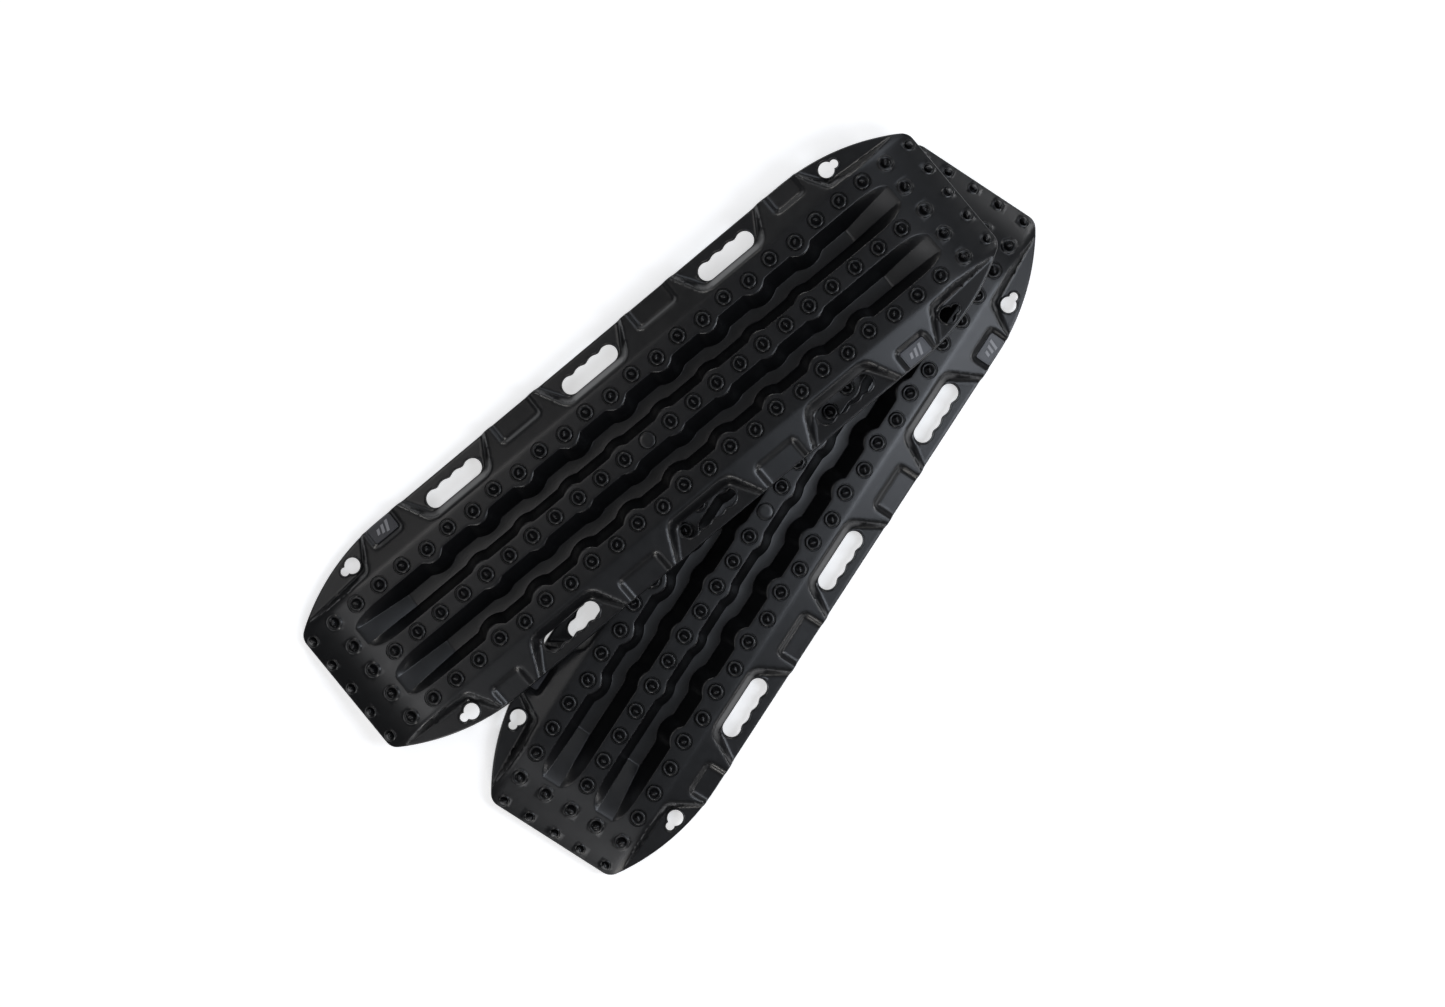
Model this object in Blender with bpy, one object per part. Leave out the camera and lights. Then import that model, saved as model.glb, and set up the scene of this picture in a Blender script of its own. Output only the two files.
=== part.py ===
"""A pair of vehicle traction boards: one lies flat and the other leans across it.

Each board is a one-piece ribbed shell, 1.15 m long. Two deep channels run along it between
three studded ridges, and a sloping flank on each long side carries three hand slots, four
shallow pads and two keyholes for mounting pins. Two pads of each board hold a badge plate.

A board is modelled in its own frame: X along it, Y across it, Z up, with the undersides of
its channel floors on Z = 0. The pair stands on Z = 0, centred on its own bounding box.
"""

import math

import bmesh
import bpy
from mathutils import Euler, Vector

# Board envelope
LENGTH = 1.150
WIDTH = 0.328
RIDGE_TOP = 0.049            # height of the flat ridge tops
WALL = 0.004                 # thickness of the shell
SKIRT_BOTTOM = 0.012         # lower edge of the rim all round the board
STRAIGHT_HALF = 0.381        # half length of the straight part of a long side
FLARE_RADIUS = 0.340         # plan radius that narrows the board towards its ends
CORNER_RADIUS = 0.020
CURL_START = 0.458           # from here outwards the end plates curve down
CURL_RATE = 1.925            # drop per squared distance past CURL_START, per metre
CREASE = 0.1045              # distance from the centre line to the top of the flank
FLANK_SLOPE = math.tan(math.radians(15.0))

# Channels, as distances from the centre line
CENTRE_RIDGE_HALF = 0.0154
FLOOR_INNER = 0.0330
FLOOR_OUTER = 0.0540
OUTER_RIDGE_INNER = 0.0725
RAMP_START = 0.415           # the channel floor is flat up to here, then climbs
RAMP_END = 0.502
MOUTH_START = 0.450          # from here the channel's upper edges close in on the ramp
MOUTH_INNER = 0.0310
MOUTH_OUTER = 0.0610
RAMP_FLOOR_INNER = 0.0325
RAMP_FLOOR_OUTER = 0.0595

# Studs, in columns along the board
PITCH = 0.0434
LAST_COLUMN = 13             # columns run from -13 to 13
OUTER_ROW = 0.0885
LOBE_ROW = 0.0835            # where the outer row steps in over a lobe
INNER_ROW = 0.0440           # extra studs on the end plates
LAST_OUTER_LOBE = 8
LAST_CENTRE_LOBE = 7
LOBE_TOP_RADIUS = 0.0212
LOBE_FLOOR_RADIUS = 0.0374
STUD_HEIGHT = 0.011
STUD_BASE_RADIUS = 0.0105
END_STUD_BASE_RADIUS = 0.0080
STUD_TIP_RADIUS = 0.0040
GATE_RADIUS = 0.0125         # flat disc in place of the middle stud
GATE_HEIGHT = 0.0015
STUD_SIDES = 6
EMBED = 0.001                # how deep a stud's foot sits in the ridge

# Hand slots and the trays that they lie in
HAND_SPACING = 0.258
SLOT_LENGTH = 0.098
SLOT_WIDTH = 0.0270
SLOT_CENTRE = 0.1353
TRAY_FLOOR = 0.024
TRAY_INNER = 0.1213
TRAY_CORNER_X = 0.0500       # where the tray's straight inner edge meets its side
TRAY_SIDE_RUN = 0.0280       # how far the side leans out over TRAY_SIDE_RISE
TRAY_SIDE_RISE = 0.0435
TRAY_CORNER_RADIUS = 0.012
DRAFT = math.radians(25.6)   # lean of the tray walls from vertical

# Corner lips and their keyholes
LIP_FLOOR = 0.028
LIP_CORNER = (0.441, 0.1207)
LIP_SIDE_END = (0.414, 0.1590)
LIP_EDGE_END = (0.600, 0.1117)
KEY_CENTRE = (0.4495, 0.1375)
KEY_RADIUS = 0.0122
KEY_LOBE_RADIUS = 0.0060
KEY_LOBE_OFFSET = 0.0140

# Pads, as distance along the board, half length of the floor, inner edge and depth
MIDDLE_PAD = (0.129, 0.0315, 0.1340, 0.006)
END_PAD = (0.380, 0.0225, 0.1350, 0.005)
PAD_LEAN = math.radians(45.0)

# Badge plates
BADGE_LENGTH = 0.0430
BADGE_WIDTH = 0.0260
BADGE_THICKNESS = 0.0014
BADGE_CENTRE = 0.1495        # distance from the centre line
BADGE_CORNER = 0.004
CONTACT_GAP = 0.0003

# How the upper board lies on the lower one
FAN_ANGLE = math.radians(-17.0)
FAN_OFFSET = (-0.006, 0.196)
LEAN_ROLL = math.radians(-8.35)
LEAN_PITCH = math.radians(-3.56)
LEAN_HEIGHT = 0.0403

# Stations along the board
CENTRE_LOBE_STATION = 0.0160 # from a lobe's middle to where it leaves the straight edge
OUTER_LOBE_STATION = 0.0190
LOBE_CROWN_STATION = 0.0070
FLARE_LEAD = 0.015
MOUTH_STEPS = 4
PLATE_STEPS = 3
ARC_STEPS = 3

# Helpers for cutting
RIM_FLAT = 0.004             # the flank's least breadth, at the ends
STEP_INNER = 0.080           # under the board, where the envelope steps up to the rim
STEP_OUTER = 0.085
ENVELOPE_LOW = -0.010
CAVITY_LOW = -0.020
FAR = 0.200                  # beyond any edge of a board
ABOVE = 0.080                # above any stud
PAD_ABOVE = 0.030            # above a pad's flank, square to it
MERGE = 0.00002
FLAT_ANGLE = math.radians(0.5)


def clear_scene():
    for item in list(bpy.data.objects):
        bpy.data.objects.remove(item, do_unlink=True)


def make_collection(name):
    collection = bpy.data.collections.new(name)
    bpy.context.scene.collection.children.link(collection)
    return collection


def make_material(name, colour, roughness, metallic):
    material = bpy.data.materials.new(name)
    material.use_nodes = True
    shader = material.node_tree.nodes["Principled BSDF"]
    shader.inputs["Base Color"].default_value = (*colour, 1.0)
    shader.inputs["Roughness"].default_value = roughness
    shader.inputs["Metallic"].default_value = metallic
    return material


def object_from_bmesh(name, shape, collection):
    bmesh.ops.recalc_face_normals(shape, faces=shape.faces)
    mesh = bpy.data.meshes.new(name)
    shape.to_mesh(mesh)
    shape.free()
    item = bpy.data.objects.new(name, mesh)
    collection.objects.link(item)
    return item


def make_cutter(name, shape, collection):
    item = object_from_bmesh(name, shape, collection)
    item.hide_render = True
    item.display_type = "WIRE"
    return item


def add_boolean(item, tool, operation):
    modifier = item.modifiers.new(tool.name, "BOOLEAN")
    modifier.operation = operation
    modifier.object = tool
    modifier.solver = "EXACT"


# ---- the board's plan and section ----

def ridge_height(x):
    run = max(0.0, abs(x) - CURL_START)
    return RIDGE_TOP - CURL_RATE * run * run


def corner_centre():
    """Centre of the corner arc, which touches both the flare and the end edge."""
    x = LENGTH / 2 - CORNER_RADIUS
    reach = FLARE_RADIUS - CORNER_RADIUS
    y = WIDTH / 2 - FLARE_RADIUS + math.sqrt(reach ** 2 - (x - STRAIGHT_HALF) ** 2)
    return x, y


def corner_tangent_angle():
    x, _ = corner_centre()
    return math.asin((x - STRAIGHT_HALF) / (FLARE_RADIUS - CORNER_RADIUS))


def half_width(x, inset):
    """Half width of the plan at station x, with the outline moved in by inset."""
    x = abs(x)
    if x <= STRAIGHT_HALF:
        return WIDTH / 2 - inset
    centre_x, centre_y = corner_centre()
    corner = CORNER_RADIUS - inset
    if x <= centre_x + corner * math.sin(corner_tangent_angle()):
        flare = FLARE_RADIUS - inset
        return WIDTH / 2 - FLARE_RADIUS + math.sqrt(flare ** 2 - (x - STRAIGHT_HALF) ** 2)
    return centre_y + math.sqrt(max(0.0, corner ** 2 - (x - centre_x) ** 2))


def lobe_reach(x, last, parity, radius):
    """How far a round lobe of the given radius reaches from its stud's row at station x."""
    column = round((x / PITCH - parity) / 2) * 2 + parity
    offset = x - column * PITCH
    if abs(column) > last or abs(offset) >= radius:
        return 0.0
    return math.sqrt(radius ** 2 - offset ** 2)


def mouth_blend(x):
    """0 in the open channel, rising as a quarter ellipse to 1 at the end of the ramp."""
    share = min(1.0, max(0.0, (abs(x) - MOUTH_START) / (RAMP_END - MOUTH_START)))
    return 1.0 - math.sqrt(1.0 - share ** 2)


def mix(first, second, share):
    return first + (second - first) * share


def channel_edges(x):
    """The four edges of a channel at station x, from the centre ridge outwards."""
    centre_top = lobe_reach(x, LAST_CENTRE_LOBE, 1, LOBE_TOP_RADIUS)
    centre_floor = lobe_reach(x, LAST_CENTRE_LOBE, 1, LOBE_FLOOR_RADIUS)
    outer_top = LOBE_ROW - lobe_reach(x, LAST_OUTER_LOBE, 0, LOBE_TOP_RADIUS)
    outer_floor = LOBE_ROW - lobe_reach(x, LAST_OUTER_LOBE, 0, LOBE_FLOOR_RADIUS)
    ramp = min(1.0, max(0.0, (abs(x) - RAMP_START) / (RAMP_END - RAMP_START)))
    mouth = mouth_blend(x)
    return (
        mix(max(CENTRE_RIDGE_HALF, centre_top), MOUTH_INNER, mouth),
        mix(max(FLOOR_INNER, centre_floor), RAMP_FLOOR_INNER, ramp),
        mix(min(FLOOR_OUTER, outer_floor), RAMP_FLOOR_OUTER, ramp),
        mix(min(OUTER_RIDGE_INNER, outer_top), MOUTH_OUTER, mouth),
    )


def channel_floor(x):
    climb = min(1.0, max(0.0, (abs(x) - RAMP_START) / (RAMP_END - RAMP_START)))
    top = ridge_height(x)
    return mix(WALL, top, climb)


def wall_shift():
    """Sideways shift of a fold between a level face and a channel wall, one wall inside."""
    lean = math.atan((FLOOR_INNER - CENTRE_RIDGE_HALF) / (RIDGE_TOP - WALL))
    return WALL * math.tan((math.pi / 2 - lean) / 2)


def section(x, inset, bottom):
    """Half section at station x as (y, z) points, from the middle to the rim and back."""
    shift = wall_shift() * inset / WALL
    top = ridge_height(x) - inset
    floor = channel_floor(x) - inset
    edges = channel_edges(x)
    edge = half_width(x, inset)
    crease = min(CREASE, edge - RIM_FLAT)
    rim = top - (edge - crease) * FLANK_SLOPE
    points = [
        (0.0, top),
        (edges[0] - shift, top),
        (edges[1] - shift, floor),
        (edges[2] + shift, floor),
        (edges[3] + shift, top),
        (crease, top),
        (edge, rim),
    ]
    return points + bottom(x, edge)


def stations(inset):
    """Stations along the board, close together at the lobes, the mouths and the corners."""
    centre_x, _ = corner_centre()
    first = corner_tangent_angle()
    half = [STRAIGHT_HALF + FLARE_LEAD, RAMP_START, MOUTH_START]
    for step in range(1, MOUTH_STEPS + 1):
        half.append(mix(MOUTH_START, RAMP_END, math.sin(math.pi / 2 * step / MOUTH_STEPS)))
    for step in range(1, PLATE_STEPS):
        half.append(mix(RAMP_END, centre_x, step / PLATE_STEPS))
    for column in range(1, LAST_OUTER_LOBE + 1):
        spread = CENTRE_LOBE_STATION if column % 2 else OUTER_LOBE_STATION
        centre = column * PITCH
        half += [centre - spread, centre - LOBE_CROWN_STATION]
        half += [centre + LOBE_CROWN_STATION, centre + spread]
    half += [LOBE_CROWN_STATION, OUTER_LOBE_STATION]
    for step in range(ARC_STEPS + 1):
        angle = mix(first, math.pi / 2, step / ARC_STEPS)
        half.append(centre_x + (CORNER_RADIUS - inset) * math.sin(angle))
    half = sorted(half)
    return [-x for x in reversed(half)] + half


def loft(inset, bottom):
    """Closed solid through the full sections at all stations."""
    shape = bmesh.new()
    rings = []
    for x in stations(inset):
        right = section(x, inset, bottom)
        left = [(-y, z) for y, z in reversed(right) if y > 0.0]
        rings.append([shape.verts.new((x, y, z)) for y, z in right + left])
    count = len(rings[0])
    for first, second in zip(rings, rings[1:]):
        for index in range(count):
            after = (index + 1) % count
            shape.faces.new((first[index], first[after], second[after], second[index]))
    shape.faces.new(rings[0])
    shape.faces.new(reversed(rings[-1]))
    return shape


def envelope_bottom(x, edge):
    """The envelope ends at the rim on its outside and below the floors in its middle."""
    low = SKIRT_BOTTOM if abs(x) > RAMP_END + 0.015 else ENVELOPE_LOW
    return [(edge, SKIRT_BOTTOM), (STEP_OUTER, SKIRT_BOTTOM), (STEP_INNER, low), (0.0, low)]


def cavity_bottom(_, edge):
    return [(edge, CAVITY_LOW), (STEP_OUTER, CAVITY_LOW), (STEP_INNER, CAVITY_LOW), (0.0, CAVITY_LOW)]


# ---- recesses, openings and studs ----

def prism(lower, upper, low, high):
    """Solid between two outlines of equally many points at two heights."""
    shape = bmesh.new()
    bottom = [shape.verts.new((x, y, low)) for x, y in lower]
    top = [shape.verts.new((x, y, high)) for x, y in upper]
    count = len(bottom)
    for index in range(count):
        after = (index + 1) % count
        shape.faces.new((bottom[index], bottom[after], top[after], top[index]))
    shape.faces.new(reversed(bottom))
    shape.faces.new(top)
    return shape


def arc(centre, radius, start, end, steps):
    points = []
    for step in range(steps + 1):
        angle = mix(start, end, step / steps)
        points.append((centre[0] + radius * math.cos(angle), centre[1] + radius * math.sin(angle)))
    return points


def tray_outline(grow):
    """Plan of a hand slot's tray, open to the board's edge, with its walls moved out."""
    radius = TRAY_CORNER_RADIUS + grow
    side = math.hypot(TRAY_SIDE_RUN, TRAY_SIDE_RISE)
    normal = math.atan2(-TRAY_SIDE_RUN, TRAY_SIDE_RISE)
    lean = TRAY_SIDE_RUN / TRAY_SIDE_RISE
    centre_y = TRAY_INNER + TRAY_CORNER_RADIUS
    centre_x = TRAY_CORNER_X + TRAY_CORNER_RADIUS * (lean - side / TRAY_SIDE_RISE)
    right = arc((centre_x, centre_y), radius, -math.pi / 2, normal, ARC_STEPS)
    last_x, last_y = right[-1]
    right.append((last_x + (FAR - last_y) * lean, FAR))
    return [(-x, y) for x, y in reversed(right)] + right


def tray(grow):
    floor = TRAY_FLOOR - grow
    outward = grow * math.tan((math.pi / 2 - DRAFT) / 2)
    climb = (ABOVE - floor) * math.tan(DRAFT)
    return prism(tray_outline(outward), tray_outline(outward + climb), floor, ABOVE)


def lip_outline(grow):
    """Plan of a corner lip's floor, open to the board's end and edge."""
    corner = Vector(LIP_CORNER)
    side = (Vector(LIP_SIDE_END) - corner).normalized()
    edge = (Vector(LIP_EDGE_END) - corner).normalized()
    side_out = Vector((-side.y, side.x))
    edge_out = Vector((edge.y, -edge.x))
    lead = (edge_out - side_out).dot(side_out) / side_out.dot(edge)
    moved = corner + grow * (edge_out - lead * edge)
    reach = (FAR - corner.y) / side.y
    far_side = corner + grow * side_out + side * reach
    far_edge = moved + edge * FAR
    return [tuple(moved), tuple(far_edge), (far_edge.x, FAR), tuple(far_side)]


def lip(grow):
    floor = LIP_FLOOR - grow
    outward = grow * math.tan((math.pi / 2 - DRAFT) / 2)
    climb = (ABOVE - floor) * math.tan(DRAFT)
    return prism(lip_outline(outward), lip_outline(outward + climb), floor, ABOVE)


def pad(half_floor, inner, depth, grow):
    """Shallow recess whose floor is parallel to the flank, made level at the crease."""
    low = -depth - grow
    outward = grow * math.tan((math.pi / 2 - PAD_LEAN) / 2)
    climb = (PAD_ABOVE - low) * math.tan(PAD_LEAN)
    cosine = math.cos(math.atan(FLANK_SLOPE))
    inner_run = (inner - CREASE) / cosine
    shape = bmesh.new()
    bmesh.ops.create_cube(shape, size=2.0)
    for vert in shape.verts:
        lean = climb if vert.co.z > 0.0 else 0.0
        vert.co.x *= half_floor + outward + lean
        vert.co.y = inner_run - outward - lean if vert.co.y < 0.0 else FAR
        vert.co.z = PAD_ABOVE if vert.co.z > 0.0 else low
    return shape


def place(target, shape, x, flip_x, flip_y, tilt, origin):
    """Copy a shape made for the +X, +Y quarter into the quarter given by the two signs."""
    for vert in shape.verts:
        point = Euler((tilt, 0.0, 0.0)).to_matrix() @ vert.co + Vector(origin)
        vert.co = ((point.x + x) * flip_x, point.y * flip_y, point.z)
    if flip_x * flip_y < 0:
        bmesh.ops.reverse_faces(shape, faces=shape.faces)
    mesh = bpy.data.meshes.new("quarter")
    shape.to_mesh(mesh)
    shape.free()
    target.from_mesh(mesh)
    bpy.data.meshes.remove(mesh)


def trays(grow):
    """The trays of all six hand slots, with their walls moved out by grow."""
    shape = bmesh.new()
    for side in (1, -1):
        for column in (-1, 0, 1):
            place(shape, tray(grow), column * HAND_SPACING, 1, side, 0.0, (0.0, 0.0, 0.0))
    return shape


def lips(grow):
    shape = bmesh.new()
    for side in (1, -1):
        for end in (1, -1):
            place(shape, lip(grow), 0.0, end, side, 0.0, (0.0, 0.0, 0.0))
    return shape


def pads(grow):
    shape = bmesh.new()
    tilt = -math.atan(FLANK_SLOPE)
    for x, half_floor, inner, depth in (MIDDLE_PAD, END_PAD):
        for side in (1, -1):
            for end in (1, -1):
                recess = pad(half_floor, inner, depth, grow)
                place(shape, recess, x, end, side, tilt, (0.0, CREASE, RIDGE_TOP))
    return shape


def cut_recesses(item, grow, cutters):
    for make in (trays, lips, pads):
        tool = make_cutter(f"{item.name}_{make.__name__}", make(grow), cutters)
        add_boolean(item, tool, "DIFFERENCE")


def keyhole_outline():
    """A large round hole with a small lobe towards the end of the board."""
    cross = (KEY_LOBE_OFFSET ** 2 + KEY_RADIUS ** 2 - KEY_LOBE_RADIUS ** 2) / (2 * KEY_LOBE_OFFSET)
    rise = math.sqrt(KEY_RADIUS ** 2 - cross ** 2)
    main = math.atan2(rise, cross)
    lobe = math.atan2(rise, cross - KEY_LOBE_OFFSET)
    points = arc((0.0, 0.0), KEY_RADIUS, main, 2 * math.pi - main, 8)
    points += arc((KEY_LOBE_OFFSET, 0.0), KEY_LOBE_RADIUS, -lobe, lobe, 4)[1:-1]
    return [(x + KEY_CENTRE[0], y + KEY_CENTRE[1]) for x, y in points]


def slot_outline():
    radius = SLOT_WIDTH / 2
    reach = SLOT_LENGTH / 2 - radius
    right = arc((reach, SLOT_CENTRE), radius, -math.pi / 2, math.pi / 2, 4)
    return right + [(-x, 2 * SLOT_CENTRE - y) for x, y in right]


def openings():
    shape = bmesh.new()
    level = (0.0, 0.0, 0.0)
    for side in (1, -1):
        for column in (-1, 0, 1):
            slot = prism(slot_outline(), slot_outline(), 0.0, ABOVE)
            place(shape, slot, column * HAND_SPACING, 1, side, 0.0, level)
        for end in (1, -1):
            keyhole = prism(keyhole_outline(), keyhole_outline(), 0.0, ABOVE)
            place(shape, keyhole, 0.0, end, side, 0.0, level)
    return shape


def add_stud(shape, x, y, radius, tip, height):
    """Tapered stud whose foot follows the ridge's curve."""
    made = bmesh.ops.create_cone(
        shape, cap_ends=True, segments=STUD_SIDES, radius1=radius, radius2=tip, depth=1.0)
    for vert in made["verts"]:
        is_foot = vert.co.z < 0.0
        vert.co.x += x
        vert.co.y += y
        if is_foot:
            vert.co.z = ridge_height(vert.co.x) - EMBED
        else:
            vert.co.z = ridge_height(x) + height


def studs():
    shape = bmesh.new()
    for column in range(-LAST_COLUMN, LAST_COLUMN + 1):
        x = column * PITCH
        on_lobe = column % 2 == 0 and abs(column) <= LAST_OUTER_LOBE
        row = LOBE_ROW if on_lobe else OUTER_ROW
        radius = END_STUD_BASE_RADIUS if abs(column) == LAST_COLUMN else STUD_BASE_RADIUS
        rows = [row, -row]
        if abs(column) >= LAST_COLUMN - 1:
            rows += [INNER_ROW, -INNER_ROW]
        if column == 0:
            add_stud(shape, x, 0.0, GATE_RADIUS, GATE_RADIUS, GATE_HEIGHT)
        else:
            rows.append(0.0)
        for y in rows:
            add_stud(shape, x, y, radius, STUD_TIP_RADIUS, STUD_HEIGHT)
    return shape


# ---- pieces ----

def make_board_mesh(cutters):
    """Cut and join the shell once, and return it as a mesh that both boards share."""
    envelope = make_cutter("board_envelope", loft(0.0, envelope_bottom), cutters)
    cavity = make_cutter("board_cavity", loft(WALL, cavity_bottom), cutters)
    cut_recesses(cavity, WALL, cutters)
    cut_recesses(envelope, 0.0, cutters)
    add_boolean(envelope, cavity, "DIFFERENCE")
    add_boolean(envelope, make_cutter("board_openings", openings(), cutters), "DIFFERENCE")
    add_boolean(envelope, make_cutter("board_studs", studs(), cutters), "UNION")
    graph = bpy.context.evaluated_depsgraph_get()
    mesh = bpy.data.meshes.new_from_object(envelope.evaluated_get(graph))
    mesh.name = "board"
    tidy = bmesh.new()
    tidy.from_mesh(mesh)
    bmesh.ops.remove_doubles(tidy, verts=tidy.verts, dist=MERGE)
    bmesh.ops.dissolve_limit(
        tidy, angle_limit=FLAT_ANGLE, verts=tidy.verts, edges=tidy.edges)
    bmesh.ops.triangulate(tidy, faces=tidy.faces)
    tidy.to_mesh(mesh)
    tidy.free()
    mesh.materials.clear()
    return mesh


def make_badge_mesh():
    """Rounded plate, level and centred on its underside."""
    half_length = BADGE_LENGTH / 2 - BADGE_CORNER
    half_breadth = BADGE_WIDTH / 2 - BADGE_CORNER
    outline = []
    for quarter, signs in enumerate(((1, 1), (-1, 1), (-1, -1), (1, -1))):
        centre = (signs[0] * half_length, signs[1] * half_breadth)
        start = quarter * math.pi / 2
        outline += arc(centre, BADGE_CORNER, start, start + math.pi / 2, ARC_STEPS)
    shape = prism(outline, outline, 0.0, BADGE_THICKNESS)
    bmesh.ops.recalc_face_normals(shape, faces=shape.faces)
    mesh = bpy.data.meshes.new("badge")
    shape.to_mesh(mesh)
    shape.free()
    return mesh


def badge_height():
    """Height of a badge plate's underside at its centre, just clear of the pad's floor."""
    tilt = math.atan(FLANK_SLOPE)
    surface = RIDGE_TOP - (BADGE_CENTRE - CREASE) * FLANK_SLOPE
    return surface - (END_PAD[3] - CONTACT_GAP) / math.cos(tilt)


def make_board(prefix, board_mesh, badge_mesh, collection):
    """One board on its own empty, with a badge plate in two opposite end pads."""
    carrier = bpy.data.objects.new(prefix + "_board_frame", None)
    collection.objects.link(carrier)
    board = bpy.data.objects.new(prefix + "_board", board_mesh)
    collection.objects.link(board)
    board.parent = carrier
    for place_name, side in (("left", 1), ("right", -1)):
        badge = bpy.data.objects.new(f"{prefix}_badge_{place_name}", badge_mesh)
        collection.objects.link(badge)
        badge.parent = carrier
        badge.location = (-side * END_PAD[0], side * BADGE_CENTRE, badge_height())
        badge.rotation_euler = (-side * math.atan(FLANK_SLOPE), 0.0, 0.0)
    return carrier


def centre_on_floor(carriers, parts):
    """Move both boards together so that their common box is centred over the origin."""
    bpy.context.view_layer.update()
    low = Vector((FAR * 100,) * 3)
    high = -low
    for item in parts:
        for vert in item.data.vertices:
            point = item.matrix_world @ vert.co
            low = Vector(map(min, low, point))
            high = Vector(map(max, high, point))
    shift = Vector((-(low.x + high.x) / 2, -(low.y + high.y) / 2, -low.z))
    for carrier in carriers:
        carrier.location += shift
    bpy.context.view_layer.update()


def main():
    clear_scene()
    parts = make_collection("traction_boards")
    cutters = make_collection("cutters")
    nylon = make_material("black_nylon", (0.022, 0.022, 0.024), 0.42, 0.0)
    plate = make_material("badge_plate", (0.130, 0.130, 0.140), 0.35, 0.0)
    board_mesh = make_board_mesh(cutters)
    board_mesh.materials.append(nylon)
    board_mesh.shade_flat()
    badge_mesh = make_badge_mesh()
    badge_mesh.materials.append(plate)
    lower = make_board("lower", board_mesh, badge_mesh, parts)
    upper = make_board("upper", board_mesh, badge_mesh, parts)
    upper.location = (FAN_OFFSET[0], FAN_OFFSET[1], LEAN_HEIGHT)
    upper.rotation_euler = Euler((LEAN_ROLL, LEAN_PITCH, FAN_ANGLE), "XYZ")
    solids = [item for item in parts.objects if item.type == "MESH"]
    centre_on_floor([lower, upper], solids)


main()
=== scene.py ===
import math

import bmesh
import bpy
import numpy as np
from mathutils import Euler, Matrix, Vector


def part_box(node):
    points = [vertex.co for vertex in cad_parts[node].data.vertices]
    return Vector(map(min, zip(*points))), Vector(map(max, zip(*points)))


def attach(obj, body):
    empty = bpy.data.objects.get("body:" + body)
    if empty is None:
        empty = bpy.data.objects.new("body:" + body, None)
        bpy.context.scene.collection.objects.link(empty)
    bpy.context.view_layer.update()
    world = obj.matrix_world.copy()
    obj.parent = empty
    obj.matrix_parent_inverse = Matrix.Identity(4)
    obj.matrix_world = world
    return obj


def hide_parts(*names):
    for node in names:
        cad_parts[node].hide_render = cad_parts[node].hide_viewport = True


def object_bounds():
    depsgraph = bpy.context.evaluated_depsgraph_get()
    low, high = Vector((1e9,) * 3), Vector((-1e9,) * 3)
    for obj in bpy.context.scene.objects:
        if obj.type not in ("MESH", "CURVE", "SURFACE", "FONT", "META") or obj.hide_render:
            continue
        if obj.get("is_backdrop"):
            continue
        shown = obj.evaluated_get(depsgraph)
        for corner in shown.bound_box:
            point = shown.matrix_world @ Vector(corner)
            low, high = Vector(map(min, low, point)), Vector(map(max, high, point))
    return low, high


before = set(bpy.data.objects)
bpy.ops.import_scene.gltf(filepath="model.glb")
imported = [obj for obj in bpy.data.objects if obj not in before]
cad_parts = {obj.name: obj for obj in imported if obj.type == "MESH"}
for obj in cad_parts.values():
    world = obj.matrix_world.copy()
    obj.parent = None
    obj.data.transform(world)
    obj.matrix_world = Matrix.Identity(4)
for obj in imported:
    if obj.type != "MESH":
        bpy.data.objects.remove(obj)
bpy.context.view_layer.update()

# ---- sizes of a board, in metres, in the board's own frame ----
LENGTH = 1.150
WIDTH = 0.328
RIDGE_TOP = 0.049
WALL = 0.004
SKIRT_BOTTOM = 0.012
STRAIGHT_HALF = 0.381
FLARE_RADIUS = 0.340
CORNER_RADIUS = 0.020
CURL_START = 0.458
CURL_RATE = 1.925
CREASE = 0.1045
FLANK_SLOPE = math.tan(math.radians(15.0))
RIM_FLAT = 0.004
CREASE_ROUND = 0.004
EDGE_ROUND = 0.0025

CENTRE_RIDGE_HALF = 0.0154
FLOOR_INNER = 0.0330
FLOOR_OUTER = 0.0540
OUTER_RIDGE_INNER = 0.0725
RAMP_START = 0.415
RAMP_END = 0.502
MOUTH_START = 0.450
MOUTH_INNER = 0.0310
MOUTH_OUTER = 0.0610
RAMP_FLOOR_INNER = 0.0325
RAMP_FLOOR_OUTER = 0.0595

PITCH = 0.0434
LAST_COLUMN = 13
OUTER_ROW = 0.0885
LOBE_ROW = 0.0835
INNER_ROW = 0.0440
LAST_OUTER_LOBE = 8
LAST_CENTRE_LOBE = 7
LOBE_TOP_RADIUS = 0.0212
LOBE_FLOOR_RADIUS = 0.0374
LOBE_EDGE = 0.0046
LOBE_SWELL = 0.0040
LOBE_BLEND = 0.0010
STUD_HEIGHT = 0.011

HAND_SPACING = 0.258
SLOT_LENGTH = 0.098
SLOT_WIDTH = 0.0270
SLOT_CENTRE = 0.1353
TRAY_FLOOR = 0.024
TRAY_INNER = 0.1213
TRAY_CORNER_X = 0.0500
TRAY_SIDE_LEAN = math.atan2(0.0280, 0.0435)
TRAY_CORNER_RADIUS = 0.012
DRAFT = math.radians(25.6)
RECESS_RIM = 0.0022
RECESS_FOOT = 0.0030

LIP_FLOOR = 0.028
LIP_CORNER = (0.441, 0.1207)
LIP_SIDE_END = (0.414, 0.1590)
LIP_EDGE_END = (0.600, 0.1117)
LIP_CORNER_RADIUS = 0.006
KEY_CENTRE = (0.4495, 0.1375)
KEY_RADIUS = 0.0118
KEY_LOBE_RADIUS = 0.0064
KEY_LOBE_OFFSET = 0.0140

# a pad's middle along the board, half its length, its inner side and its depth
MIDDLE_PAD = (0.129, 0.0315, 0.1340, 0.006)
END_PAD = (0.380, 0.0225, 0.1350, 0.005)
PAD_CORNER_RADIUS = 0.004
PAD_ROUND = 0.0016
PAD_SPLIT = 0.25

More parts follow.
